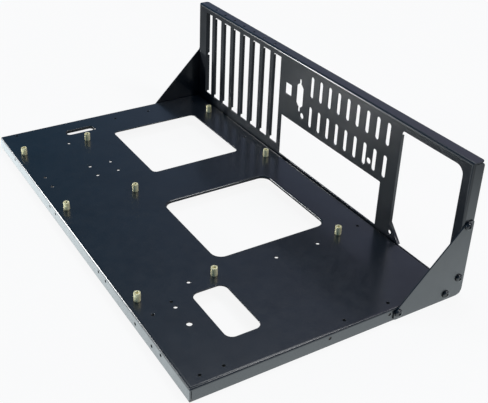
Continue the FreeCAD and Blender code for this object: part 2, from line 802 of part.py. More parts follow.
def pierce_panel(body, s):
    """Cuts the panel's other openings."""
    half_sheet = s.sheet / 2
    port_left = s.port_window_left - s.tray_width / 2

    for name, low_x, width, bottom, height, radius in (
        ("PortWindow", port_left, s.port_window_width, s.port_window_bottom,
         s.port_window_height, s.port_window_round),
        ("SquareHole", port_left + s.square_hole_across, s.square_hole_width,
         s.square_hole_bottom, s.square_hole_height, s.square_hole_round),
    ):
        window = Drawing(body, name, "XZ_Plane")
        window.rectangle(low_x, width, bottom, height)
        cut(body, window)
        corners = [
            edge
            for corner_x in (low_x, low_x + width)
            for corner_z in (bottom, bottom + height)
            for edge in straight_edges(body, "y", x=corner_x, y=half_sheet, z=corner_z)
        ]
        soften(body, f"{name}Corners", corners, radius)

    plug_left = port_left + s.plug_hole_across
    plug_right = plug_left + s.plug_hole_width
    plug_top = s.plug_hole_bottom + s.plug_hole_height
    plug = Drawing(body, "PlugHole", "XZ_Plane")
    plug.polygon(
        (plug_left + s.plug_hole_chamfer, s.plug_hole_bottom),
        (plug_right - s.plug_hole_chamfer, s.plug_hole_bottom),
        (plug_right, s.plug_hole_bottom + s.plug_hole_chamfer),
        (plug_right, plug_top - s.plug_hole_chamfer),
        (plug_right - s.plug_hole_chamfer, plug_top),
        (plug_left + s.plug_hole_chamfer, plug_top),
        (plug_left, plug_top - s.plug_hole_chamfer),
        (plug_left, s.plug_hole_bottom + s.plug_hole_chamfer),
    )
    cut(body, plug)
    ears = Drawing(body, "PlugEars", "XZ_Plane")
    ears.upright_slot(
        plug_left + s.plug_hole_width / 2,
        s.plug_hole_bottom + s.plug_hole_height / 2 - s.plug_ear_length / 2,
        s.plug_ear_width,
        s.plug_ear_length,
    )
    cut(body, ears)

    round_holes = Drawing(body, "PanelRoundHoles", "XZ_Plane")
    port_right = port_left + s.port_window_width
    foot_hole = s.supply_window_left - s.tray_width / 2 + s.foot_hole_across
    for across in (port_left + s.knockout_one_across, port_right - s.knockout_two_across):
        round_holes.circle(across, s.knockout_height, s.knockout_bore)
    round_holes.circle(foot_hole, s.foot_hole_height, s.foot_hole_bore)
    cut(body, round_holes)

    upper_vents = s.vent_lower_bottom + s.vent_height + s.vent_gap
    for name, bottom in (("LowerVent", s.vent_lower_bottom), ("UpperVent", upper_vents)):
        vent = Drawing(body, name, "XZ_Plane")
        vent.upright_slot(port_left + s.vent_across, bottom, s.vent_width, s.vent_height)
        repeat(body, cut(body, vent), "H_Axis", s.vent_count, s.vent_pitch)


def tap_panel_flanges(body, s):
    """Draws and taps the holes in the panel's side flanges that take the gusset screws."""
    left = -(s.tray_width / 2)
    back = s.panel_flange - s.screw_inset
    tap = s.screw_thread + s.thread_clearance
    for name, lift, away in (
        ("PanelRightCollars", s.tray_width / 2 - s.sheet, True),
        ("PanelLeftCollars", left + s.sheet, False),
    ):
        collars = Drawing(body, name, "YZ_Plane", lift)
        for up in (s.leg_short, s.leg_long):
            collars.circle(back, up, tap + s.tap_collar_wall * 2)
        grow(body, collars, s.tap_collar_height, reverse=away)
    bores = Drawing(body, "PanelTaps", "YZ_Plane")
    for up in (s.leg_short, s.leg_long):
        bores.circle(back, up, tap)
    cut(body, bores, side="Symmetric")


def make_panel(document, s):
    """Makes the rear panel, which stands against the tray's rear flange."""
    body = start_body(document, "rear_panel", back=s.tray_depth / 2 - s.panel_flange / 2)
    fold_panel(body, s)
    pierce_card_slots(body, s)
    pierce_supply_window(body, s)
    pierce_panel(body, s)
    tap_panel_flanges(body, s)


# ---------------------------------------------------------------------------------------------
# Gussets and hardware
# ---------------------------------------------------------------------------------------------


def gusset_screws(s):
    """Gives the four screw places of a gusset, forward of the panel's back and up."""
    return [
        (s.leg_long, s.screw_inset),
        (s.leg_short, s.screw_inset),
        (s.screw_inset, s.leg_short),
        (s.screw_inset, s.leg_long),
    ]


def make_gusset(document, s, name, side):
    """Makes one gusset, a flat corner plate outside the tray's and the panel's flanges."""
    back = (s.tray_depth + s.panel_flange) / 2
    body = start_body(document, name, across=s.tray_width / 2 * side, back=back)
    reach = s.leg_long + s.gusset_end
    slant = s.leg_long + s.screw_inset + s.gusset_web - reach
    plate = Drawing(body, f"{name}Outline", "YZ_Plane")
    plate.polygon(
        (-s.gusset_inset, s.gusset_inset),
        (-s.gusset_inset, reach),
        (-slant, reach),
        (-reach, slant),
        (-reach, s.gusset_inset),
    )
    grow(body, plate, s.sheet, reverse=side < 0)
    tips = [
        *straight_edges(body, "x", y=-s.gusset_inset, z=reach),
        *straight_edges(body, "x", y=-slant, z=reach),
        *straight_edges(body, "x", y=-reach, z=slant),
        *straight_edges(body, "x", y=-reach, z=s.gusset_inset),
    ]
    soften(body, f"{name}Tips", tips, s.gusset_tip_round)
    corner = straight_edges(body, "x", y=-s.gusset_inset, z=s.gusset_inset)
    soften(body, f"{name}Corner", corner, s.gusset_corner_round)
    holes = Drawing(body, f"{name}Holes", "YZ_Plane")
    for forward, up in gusset_screws(s):
        holes.circle(-forward, up, s.screw_thread + s.screw_clearance)
    cut(body, holes, side="Symmetric")


def make_screw(document, s, name, side, forward, up):
    """Makes a pan-head screw that points into the chassis, with its head on the gusset."""
    body = start_body(
        document,
        name,
        across=(s.tray_width / 2 + s.sheet) * side,
        back=(s.tray_depth + s.panel_flange) / 2 - forward,
        up=up,
    )
    turn = 0 if side > 0 else 180
    body.Placement.Rotation = FreeCAD.Rotation(FreeCAD.Vector(0, 0, 1), turn)
    thread = s.screw_thread / 2
    head = s.screw_head / 2
    profile = Drawing(body, f"{name}Profile", "XY_Plane")
    profile.polygon(
        (-s.screw_length, 0),
        (s.screw_head_height, 0),
        (s.screw_head_height, head),
        (0, head),
        (0, thread),
        (-s.screw_length, thread),
    )
    turned = body.newObject("PartDesign::Revolution", f"{name}Turned")
    turned.Profile = profile.sketch
    turned.ReferenceAxis = (profile.sketch, ["H_Axis"])
    turned.Angle = 360
    document.recompute()
    rims = [
        f"Edge{number}"
        for number, edge in enumerate(body.Tip.Shape.Edges, start=1)
        if edge.Curve.TypeId == "Part::GeomCircle"
        and abs(edge.Curve.Radius - float(head)) < TOUCH
        and abs(edge.Curve.Center.x - float(s.screw_head_height)) < TOUCH
    ]
    soften(body, f"{name}Rim", rims, s.screw_head_round)
    arm = s.recess_width / 2
    reach = s.recess_reach
    recess = Drawing(body, f"{name}Recess", "YZ_Plane", s.screw_head_height)
    recess.polygon(
        (reach, -arm), (reach, arm), (arm, arm), (arm, reach), (-arm, reach), (-arm, arm),
        (-reach, arm), (-reach, -arm), (-arm, -arm), (-arm, -reach), (arm, -reach), (arm, -arm),
    )
    cut(body, recess, s.recess_depth)


def make_standoff(document, s, name, across, back):
    """Makes a turned standoff, with its stud through the tray's top."""
    body = start_body(
        document, name, across=across, back=back - s.panel_flange / 2, up=s.tray_flange
    )
    outside = s.standoff_diameter / 2
    stud = s.standoff_stud / 2
    bore = s.standoff_bore / 2
    bevel = s.standoff_chamfer
    floor = s.standoff_height - s.standoff_bore_depth
    profile = Drawing(body, f"{name}Profile", "XZ_Plane")
    profile.polygon(
        (0, -s.standoff_stud_length),
        (stud - bevel, -s.standoff_stud_length),
        (stud, bevel - s.standoff_stud_length),
        (stud, 0),
        (outside, 0),
        (outside, s.standoff_height - bevel),
        (outside - bevel, s.standoff_height),
        (bore, s.standoff_height),
        (bore, floor),
        (0, floor),
    )
    turned = body.newObject("PartDesign::Revolution", f"{name}Turned")
    turned.Profile = profile.sketch
    turned.ReferenceAxis = (profile.sketch, ["V_Axis"])
    turned.Angle = 360
    document.recompute()


def make_hardware(document, s):
    """Makes the screws of both gussets and the nine standoffs."""
    for side_name, side in (("left", -1), ("right", 1)):
        for number, (forward, up) in enumerate(gusset_screws(s), start=1):
            make_screw(document, s, f"{side_name}_gusset_screw_{number}", side, forward, up)
    for number, (across, back) in enumerate(board_holes(s), start=1):
        make_standoff(document, s, f"board_standoff_{number}", across, back)


# ---------------------------------------------------------------------------------------------
# Checks and export
# ---------------------------------------------------------------------------------------------


def check_document(document):
    """Stops with a message if any object failed or any body isn't one valid solid."""
    for item in document.Objects:
        if {"Invalid", "Error"} & set(item.State):
            raise RuntimeError(f"{item.Name} failed: {item.State}")
    for body in document.findObjects("PartDesign::Body"):
        if body.Shape.isNull() or not body.Shape.isValid() or len(body.Shape.Solids) != 1:
            raise RuntimeError(f"{body.Label} isn't one valid solid")


def export_parts(document):
    """Writes each body to its own STEP file."""
    os.makedirs("parts", exist_ok=True)
    for body in document.findObjects("PartDesign::Body"):
        body.Shape.exportStep(f"parts/{body.Label}.step")
        print(f"{body.Label}: {body.Shape.Volume:.1f} mm3, {len(body.Shape.Faces)} faces")


def build():
    """Builds the whole chassis."""
    document = FreeCAD.newDocument("chassis")
    s = make_sheet(document)
    make_tray(document, s)
    make_panel(document, s)
    make_gusset(document, s, "left_gusset", -1)
    make_gusset(document, s, "right_gusset", 1)
    make_hardware(document, s)
    document.recompute()
    check_document(document)
    export_parts(document)


build()
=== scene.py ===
"""Dresses the open-air chassis: powder-coated sheets, black screws and brass standoffs."""

import logging
import math
from dataclasses import dataclass
from enum import Enum

import bmesh
import bpy
from mathutils import Matrix, Vector

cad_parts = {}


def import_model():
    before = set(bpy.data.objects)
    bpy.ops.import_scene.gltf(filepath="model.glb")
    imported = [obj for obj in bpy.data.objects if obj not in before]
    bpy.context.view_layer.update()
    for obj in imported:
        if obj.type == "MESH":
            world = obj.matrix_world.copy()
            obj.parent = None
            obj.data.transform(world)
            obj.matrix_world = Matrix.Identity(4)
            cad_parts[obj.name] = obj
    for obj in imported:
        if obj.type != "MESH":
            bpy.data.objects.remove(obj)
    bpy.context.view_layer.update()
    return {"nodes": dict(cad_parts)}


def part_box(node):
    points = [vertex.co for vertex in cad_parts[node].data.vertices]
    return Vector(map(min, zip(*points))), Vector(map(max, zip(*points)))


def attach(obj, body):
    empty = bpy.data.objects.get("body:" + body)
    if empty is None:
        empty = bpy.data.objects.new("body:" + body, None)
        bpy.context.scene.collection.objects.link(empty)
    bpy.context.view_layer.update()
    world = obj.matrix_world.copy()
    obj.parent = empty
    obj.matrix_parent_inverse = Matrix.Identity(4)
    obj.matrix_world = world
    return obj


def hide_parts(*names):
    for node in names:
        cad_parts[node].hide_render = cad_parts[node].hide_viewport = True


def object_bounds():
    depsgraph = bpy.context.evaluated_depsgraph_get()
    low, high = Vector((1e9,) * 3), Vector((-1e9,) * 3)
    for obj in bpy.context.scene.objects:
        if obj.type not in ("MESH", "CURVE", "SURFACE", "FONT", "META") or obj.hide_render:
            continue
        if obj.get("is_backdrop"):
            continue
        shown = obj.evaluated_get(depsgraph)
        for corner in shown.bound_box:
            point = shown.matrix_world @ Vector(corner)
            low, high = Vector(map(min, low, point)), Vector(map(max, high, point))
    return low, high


MM = 0.001
WHITE = (1, 1, 1, 1)
LOG = logging.getLogger("chassis")


class Slot(Enum):
    """The record's material slots."""

    SHEET = "powder_coat"
    SCREW = "black_screw"
    BRASS = "brass"


# ---------------------------------------------------------------------------------------------
# Node graphs
# ---------------------------------------------------------------------------------------------


class Graph:
    """A node tree with short calls for adding nodes and joining them."""

    noise_span = (0.3, 0.7)

    def __init__(self, tree: bpy.types.NodeTree) -> None:
        """Empties the tree."""
        self.tree = tree
        tree.nodes.clear()

    def add(self, kind: str, inputs: dict | None = None, **settings: object) -> bpy.types.Node:
        """Adds a node.

        Args:
            kind: Blender's name for the node's type.
            inputs: What each named input takes, a value or another node's output.
            settings: The node's own settings.

        Returns:
            The new node.
        """
        node = self.tree.nodes.new(kind)
        for name, value in settings.items():
            setattr(node, name, value)
        for name, value in (inputs or {}).items():
            socket = node.inputs[name]
            if isinstance(value, bpy.types.NodeSocket):
                self.tree.links.new(value, socket)
            else:
                socket.default_value = value
        return node

    def noise(self, place: bpy.types.NodeSocket, grain: float, detail: float) -> bpy.types.NodeSocket:
        """Adds cloudy noise.

        Args:
            place: The coordinates, in metres.
            grain: The size of one cloud, in metres.
            detail: How many finer layers lie over the clouds.

        Returns:
            The noise, from 0 to 1.
        """
        node = self.add("ShaderNodeTexNoise", {"Vector": place, "Scale": 1 / grain, "Detail": detail})
        return node.outputs["Fac"]

    def ramp(
        self,
        value: bpy.types.NodeSocket,
        places: tuple[float, float],
        colours: tuple[tuple[float, float, float], tuple[float, float, float]],
    ) -> bpy.types.NodeSocket:
        """Turns a value into a colour between two.

        Args:
            value: The value, from 0 to 1.
            places: The values where the first and the second colour are reached.
            colours: The two colours.

        Returns:
            The colour.
        """
        node = self.add("ShaderNodeValToRGB", {"Fac": value})
        for element, place, colour in zip(node.color_ramp.elements, places, colours):
            element.position = place
            element.color = (*colour, 1)
        return node.outputs["Color"]

    def stretch(
        self,
        value: bpy.types.NodeSocket,
        source: tuple[float, float],
        target: tuple[float, float],
    ) -> bpy.types.NodeSocket:
        """Maps a value from one range to another.

        Args:
            value: The value.
            source: Where its range starts and ends.
            target: What the start and the end become.

        Returns:
            The mapped value.
        """
        inputs = {"Value": value, "From Min": source[0], "From Max": source[1]}
        inputs |= {"To Min": target[0], "To Max": target[1]}
        return self.add("ShaderNodeMapRange", inputs).outputs["Result"]

    def between(self, noise: bpy.types.NodeSocket, low: float, high: float) -> bpy.types.NodeSocket:
        """Stretches the middle of a noise over a range from low to high."""
        return self.stretch(noise, self.noise_span, (low, high))

    def bump(self, height: bpy.types.NodeSocket, depth: float) -> bpy.types.NodeSocket:
        """Gives the normal of a surface that a pattern raises by a depth in metres."""
        node = self.add("ShaderNodeBump", {"Height": height, "Distance": depth, "Strength": 1.0})
        return node.outputs["Normal"]

    def combine(
        self,
        operation: str,
        first: bpy.types.NodeSocket | float,
        second: bpy.types.NodeSocket | float,
    ) -> bpy.types.NodeSocket:
        """Gives what one of Blender's math operations makes of two values."""
        return self.add("ShaderNodeMath", {0: first, 1: second}, operation=operation).outputs[0]

    def mix(
        self,
        share: bpy.types.NodeSocket,
        first: bpy.types.NodeSocket,
        second: bpy.types.NodeSocket,
    ) -> bpy.types.NodeSocket:
        """Mixes two shaders, of which the second one has the share."""
        return self.add("ShaderNodeMixShader", {0: share, 1: first, 2: second}).outputs[0]

    def surface(self, inputs: dict) -> None:
        """Ends the tree in one surface shader with the given inputs."""
        shader = self.add("ShaderNodeBsdfPrincipled", inputs)
        self.add("ShaderNodeOutputMaterial", {"Surface": shader.outputs["BSDF"]})


def new_material(name: str) -> tuple[bpy.types.Material, Graph, bpy.types.NodeSocket]:
    """Makes an empty material.

    Args:
        name: The material's name.

    Returns:
        The material, its node tree and the object's own coordinates, in metres.
    """
    material = bpy.data.materials.new(name)
    material.use_nodes = True
    graph = Graph(material.node_tree)
    return material, graph, graph.add("ShaderNodeTexCoord").outputs["Object"]


# ---------------------------------------------------------------------------------------------
# Finishes
# ---------------------------------------------------------------------------------------------


@dataclass(frozen=True)
class PowderCoat:
    """Satin black powder coat with a faint blue cast and a fine orange peel."""

    dark: tuple[float, float, float] = (0.0030, 0.0055, 0.0095)
    light: tuple[float, float, float] = (0.0050, 0.0085, 0.0135)
    cloud_grain: float = 22 * MM
    cloud_edges: tuple[float, float] = (0.35, 0.65)
    smooth: float = 0.29
    rough: float = 0.37
    rough_grain: float = 9 * MM
    refraction: float = 1.5
    clear_coat: float = 0.7
    clear_rough: float = 0.17
    peel_grain: float = 0.7 * MM
    peel_depth: float = 0.018 * MM

    def build(self) -> bpy.types.Material:
        """Makes the material."""
        material, graph, place = new_material(Slot.SHEET.value)
        clouds = graph.noise(place, self.cloud_grain, detail=3)
        patches = graph.noise(place, self.rough_grain, detail=4)
        peel = graph.bump(graph.noise(place, self.peel_grain, detail=2), self.peel_depth)
        graph.surface(
            {
                "Base Color": graph.ramp(clouds, self.cloud_edges, (self.dark, self.light)),
                "Roughness": graph.between(patches, self.smooth, self.rough),
                "Normal": peel,
                "IOR": self.refraction,
                "Coat Weight": self.clear_coat,
                "Coat Roughness": self.clear_rough,
                "Coat Normal": peel,
            }
        )
        return material


@dataclass(frozen=True)
class TurnedBrass:
    """Bright brass with the fine rings that a lathe leaves."""

    pale: tuple[float, float, float] = (0.96, 0.89, 0.56)
    deep: tuple[float, float, float] = (0.86, 0.75, 0.38)
    metal: float = 0.3
    tone_grain: float = 3 * MM
    tone_edges: tuple[float, float] = (0.3, 0.6)
    smooth: float = 0.38
    rough: float = 0.50
    rough_grain: float = 1.2 * MM
    ring_pitch: float = 0.16 * MM
    ring_waver: float = 0.4
    ring_depth: float = 0.003 * MM

    def build(self) -> bpy.types.Material:
        """Makes the material."""
        material, graph, place = new_material(Slot.BRASS.value)
        tone = graph.noise(place, self.tone_grain, detail=3)
        patches = graph.noise(place, self.rough_grain, detail=3)
        rings = graph.add(
            "ShaderNodeTexWave",
            {
                "Vector": place,
                "Scale": 1 / self.ring_pitch / (2 * math.pi),
                "Distortion": self.ring_waver,
            },
            bands_direction="Z",
        )
        graph.surface(
            {
                "Base Color": graph.ramp(tone, self.tone_edges, (self.deep, self.pale)),
                "Roughness": graph.between(patches, self.smooth, self.rough),
                "Normal": graph.bump(rings.outputs["Fac"], self.ring_depth),
                "Metallic": self.metal,
            }
        )
        return material


@dataclass(frozen=True)
class BlackScrewFinish:
    """Glossy black plating on steel."""

    dark: tuple[float, float, float] = (0.010, 0.011, 0.013)
    light: tuple[float, float, float] = (0.026, 0.027, 0.030)
    tone_grain: float = 1.5 * MM
    tone_edges: tuple[float, float] = (0.35, 0.65)
    smooth: float = 0.16
    rough: float = 0.30
    rough_grain: float = 0.8 * MM
    grit_grain: float = 0.25 * MM
    grit_depth: float = 0.006 * MM
    shine: float = 0.7

    def build(self) -> bpy.types.Material:
        """Makes the material."""
        material, graph, place = new_material(Slot.SCREW.value)
        tone = graph.noise(place, self.tone_grain, detail=3)
        patches = graph.noise(place, self.rough_grain, detail=3)
        grit = graph.noise(place, self.grit_grain, detail=2)
        graph.surface(
            {
                "Base Color": graph.ramp(tone, self.tone_edges, (self.dark, self.light)),
                "Roughness": graph.between(patches, self.smooth, self.rough),
                "Normal": graph.bump(grit, self.grit_depth),
                "Specular IOR Level": self.shine,
            }
        )
        return material


def finishes() -> dict[Slot, bpy.types.Material]:
    """Makes one material for each slot."""
    return {
        Slot.SHEET: PowderCoat().build(),
        Slot.SCREW: BlackScrewFinish().build(),
        Slot.BRASS: TurnedBrass().build(),
    }


# ---------------------------------------------------------------------------------------------
# Mesh building
# ---------------------------------------------------------------------------------------------


def make_piece(name: str, mesh: bpy.types.Mesh, material: bpy.types.Material) -> bpy.types.Object:
    """Makes an object that rides on the chassis, and reports it.

    Args:
        name: The piece's name.
        mesh: Its mesh, in metres, in the chassis's own frame.
        material: Its finish.

    Returns:
        The new object.
    """
    mesh.materials.clear()
    mesh.materials.append(material)
    piece = bpy.data.objects.new(name, mesh)
    bpy.context.scene.collection.objects.link(piece)
    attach(piece, "root")
    LOG.info("made %s in %s", name, material.name)
    return piece


def shade(mesh: bpy.types.Mesh, sharp: float) -> None:
    """Smooths a mesh except across edges that turn by more than an angle, in degrees."""
    mesh.shade_smooth()
    mesh.set_sharp_from_angle(angle=math.radians(sharp))


def lathe(profile: list[tuple[float, float]], steps: int) -> bmesh.types.BMesh:
    """Turns a profile round the Z axis.

    Args:
        profile: Radius and height of each point; a radius of 0 closes the end.
        steps: How many steps make a full turn.

    Returns:
        The turned mesh.
    """
    shape = bmesh.new()
    rings = []
    for radius, height in profile:
        if radius == 0:
            rings.append([shape.verts.new((0, 0, height))] * steps)
            continue
        angles = [2 * math.pi * step / steps for step in range(steps)]
        rings.append(
            [shape.verts.new((radius * math.cos(a), radius * math.sin(a), height)) for a in angles]
        )
    for lower, upper in zip(rings, rings[1:]):
        for step in range(steps):
            following = (step + 1) % steps
            corners = [lower[step], lower[following], upper[following], upper[step]]
            shape.faces.new(list(dict.fromkeys(corners)))
    bmesh.ops.recalc_face_normals(shape, faces=shape.faces)
    return shape


def thread(radius: float, depth: float, pitch: float, low: float, high: float) -> bmesh.types.BMesh:
    """Makes the skin of a screw thread along the Z axis.

    Args:
        radius: The thread's largest radius.
        depth: How far it comes in from there.
        pitch: The rise of one turn.
        low: Where the thread starts.
        high: Where it ends.

    Returns:
        The thread's skin, open at both ends.
    """
    shape = bmesh.new()
    around = 24
    per_turn = 6
    levels = max(2, round((high - low) / pitch * per_turn))
    grid = []
    for level in range(levels + 1):
        height = low + (high - low) * level / levels
        row = []
        for step in range(around):
            turn = step / around
            phase = (height / pitch - turn) % 1.0
            local = radius - depth * abs(2 * phase - 1)
            angle = 2 * math.pi * turn
            row.append(shape.verts.new((local * math.cos(angle), local * math.sin(angle), height)))
        grid.append(row)
    for lower, upper in zip(grid, grid[1:]):
        for step in range(around):
            following = (step + 1) % around
            shape.faces.new((lower[step], lower[following], upper[following], upper[step]))
    return shape


def join(target: bmesh.types.BMesh, other: bmesh.types.BMesh) -> None:
    """Adds another mesh to the target and frees it."""
    scratch = bpy.data.meshes.new("scratch")
    other.to_mesh(scratch)
    other.free()
    target.from_mesh(scratch)
    bpy.data.meshes.remove(scratch)


def to_mesh(shape: bmesh.types.BMesh, name: str) -> bpy.types.Mesh:
    """Turns working geometry into a mesh and frees it."""
    mesh = bpy.data.meshes.new(name)
    shape.to_mesh(mesh)
    shape.free()
    return mesh


def cut_away(mesh: bpy.types.Mesh, cutters: list[bpy.types.Mesh]) -> bpy.types.Mesh:
    """Cuts closed meshes out of a closed mesh.

    Args:
        mesh: What is cut.
        cutters: What is taken away; they are removed afterwards.

    Returns:
        A new mesh with the cutters' shapes gone.
    """
    body = bpy.data.objects.new("cut_body", mesh)
    bpy.context.scene.collection.objects.link(body)
    tools = []
    for cutter in cutters:
        tool = bpy.data.objects.new("cut_tool", cutter)
        bpy.context.scene.collection.objects.link(tool)
        tools.append(tool)
        change = body.modifiers.new("cut", "BOOLEAN")
        change.operation = "DIFFERENCE"
        change.solver = "EXACT"
        change.object = tool
    graph = bpy.context.evaluated_depsgraph_get()
    result = bpy.data.meshes.new_from_object(body.evaluated_get(graph))
    for item in (body, *tools):
        bpy.data.objects.remove(item)
    for cutter in cutters:
        bpy.data.meshes.remove(cutter)
    return result


# ---------------------------------------------------------------------------------------------
# Folded sheets
# ---------------------------------------------------------------------------------------------


@dataclass(frozen=True)
class Opening:
    """A rounded rectangular opening in the tray, with its sides along X and Y."""

    low: tuple[float, float]
    high: tuple[float, float]
    rounding: float
    corner_steps: int = 8

    def outline(self, inward: float) -> list[tuple[float, float]]:
        """Gives the outline, drawn inward by a distance.

        Args:
            inward: How far inside the opening's edge the outline runs.

        Returns:
            The outline's points, counterclockwise.
        """
        radius = self.rounding - inward
        left, front = (value + self.rounding for value in self.low)
        right, back = (value - self.rounding for value in self.high)
        points = []
        for corner, (x, y) in enumerate(((right, back), (left, back), (left, front), (right, front))):
            for step in range(self.corner_steps + 1):
                angle = math.pi / 2 * (corner + step / self.corner_steps)
                points.append((x + radius * math.cos(angle), y + radius * math.sin(angle)))
        return points


@dataclass(frozen=True)
class FoldedRim:
    """An opening's edge that is folded down, as the tray's larger openings have it."""

    opening: Opening
    sheet: float
    drop: float
    bend: float
    bend_steps: int = 4
    cut_depth: float = 3.0

    def cutter(self, top: float) -> bpy.types.Mesh:
        """Makes the block that widens the opening to the outside of the fold.

        Args:
            top: The height of the sheet's top.

        Returns:
            The block, which reaches several sheet thicknesses below the top.
        """
        shape = bmesh.new()
        points = self.opening.outline(0.0)
        floor = [shape.verts.new((x, y, top - self.sheet * self.cut_depth)) for x, y in points]
        roof = [shape.verts.new((x, y, top + self.sheet)) for x, y in points]
        shape.faces.new(floor)
        shape.faces.new(roof)
        for index in range(len(points)):
            following = (index + 1) % len(points)
            shape.faces.new((floor[index], floor[following], roof[following], roof[index]))
        bmesh.ops.recalc_face_normals(shape, faces=shape.faces)
        return to_mesh(shape, "rim_cutter")

    def shape(self, top: float) -> bmesh.types.BMesh:
        """Makes the folded rim, whose top is flush with the sheet's.

        Args:
            top: The height of the sheet's top.

        Returns:
            The rim.
        """
        arc = [math.pi / 2 * step / self.bend_steps for step in range(self.bend_steps + 1)]
        profile = [(self.bend * math.sin(a), top - self.bend * (1 - math.cos(a))) for a in arc]
        profile.append((self.bend, top - self.drop))
        profile.append((0.0, top - self.drop))
        shape = bmesh.new()
        rings = [
            [shape.verts.new((x, y, height)) for x, y in self.opening.outline(inward)]
            for inward, height in profile
        ]
        for ring, following_ring in zip(rings, rings[1:] + rings[:1]):
            for index in range(len(ring)):
                following = (index + 1) % len(ring)
                shape.faces.new(
                    (ring[index], ring[following], following_ring[following], following_ring[index])
                )
        bmesh.ops.recalc_face_normals(shape, faces=shape.faces)
        return shape


@dataclass(frozen=True)
class RimPlan:
    """Where a folded rim runs, measured from the tray's left and rear sides."""

    left: float
    right: float
    rear: float
    front: float
    rounding: float
    drop: float
    bend: float

    def rim(self, sheet: float) -> FoldedRim:
        """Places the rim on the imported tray.

        Args:
            sheet: The tray's thickness.

        Returns:
            The rim.
        """
        low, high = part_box("base_tray")
        opening = Opening(
            (low.x + self.left, high.y - self.front),
            (low.x + self.right, high.y - self.rear),
            self.rounding,
        )
        return FoldedRim(opening, sheet, self.drop, self.bend)


@dataclass(frozen=True)
class SheetPiece:
    """A folded sheet whose cut edges are softened by its coat; angles are in degrees."""

    node: str
    rims: tuple[FoldedRim, ...] = ()
    edge: float = 0.2 * MM
    cut_edge_angle: float = 50.0
    weld: float = 0.002 * MM
    flat_angle: float = 0.5
    crease: float = 40.0

    def build(self, material: bpy.types.Material) -> None:
        """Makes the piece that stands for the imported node.

        Args:
            material: Its powder coat.
        """
        source = bpy.data.objects[self.node]
        mesh = source.data.copy()
        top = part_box(self.node)[1].z
        self._merge(mesh)
        if self.rims:
            mesh = cut_away(mesh, [rim.cutter(top) for rim in self.rims])
        shape = bmesh.new()
        shape.from_mesh(mesh)
        self._soften(shape)
        for rim in self.rims:
            join(shape, rim.shape(top))
        shape.to_mesh(mesh)
        shape.free()
        shade(mesh, self.crease)
        piece = make_piece(f"{self.node}_coated", mesh, material)
        weighted = piece.modifiers.new("flat_faces", "WEIGHTED_NORMAL")
        weighted.keep_sharp = True
        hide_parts(self.node)

    def _merge(self, mesh: bpy.types.Mesh) -> None:
        """Joins doubled vertices and merges flat triangles into whole faces."""
        shape = bmesh.new()
        shape.from_mesh(mesh)
        bmesh.ops.remove_doubles(shape, verts=shape.verts, dist=self.weld)
        bmesh.ops.dissolve_limit(
            shape, angle_limit=math.radians(self.flat_angle), verts=shape.verts, edges=shape.edges
        )
        shape.to_mesh(mesh)
        shape.free()

    def _soften(self, shape: bmesh.types.BMesh) -> None:
        """Rounds the cut edges a little, as the coat does."""
        sharpest = math.radians(self.cut_edge_angle)
        edges = [
            edge
            for edge in shape.edges
            if len(edge.link_faces) == 2 and edge.calc_face_angle(0.0) > sharpest
        ]
        bmesh.ops.bevel(
            shape, geom=edges, offset=self.edge, segments=2, profile=0.5, affect="EDGES",
            clamp_overlap=False,
        )


@dataclass(frozen=True)
class Sheets:
    """The tray, the rear panel and the two gussets."""

    material: bpy.types.Material
    sheet: float = 1.2 * MM
    window: RimPlan = RimPlan(
        left=208.6 * MM,
        right=315.2 * MM,
        rear=35.6 * MM,
        front=156.8 * MM,
        rounding=11 * MM,
        drop=2.6 * MM,
        bend=1.2 * MM,
    )
    strap_slot: RimPlan = RimPlan(
        left=20.4 * MM,
        right=31.9 * MM,
        rear=151.2 * MM,
        front=184.6 * MM,
        rounding=4.5 * MM,
        drop=3.4 * MM,
        bend=0.5 * MM,
    )

    def build(self) -> None:
        """Makes the sheets."""
        rims = (self.window.rim(self.sheet), self.strap_slot.rim(self.sheet))
        SheetPiece("base_tray", rims).build(self.material)
        for node in ("rear_panel", "left_gusset", "right_gusset"):
            SheetPiece(node).build(self.material)


# ---------------------------------------------------------------------------------------------
# Hardware
# ---------------------------------------------------------------------------------------------


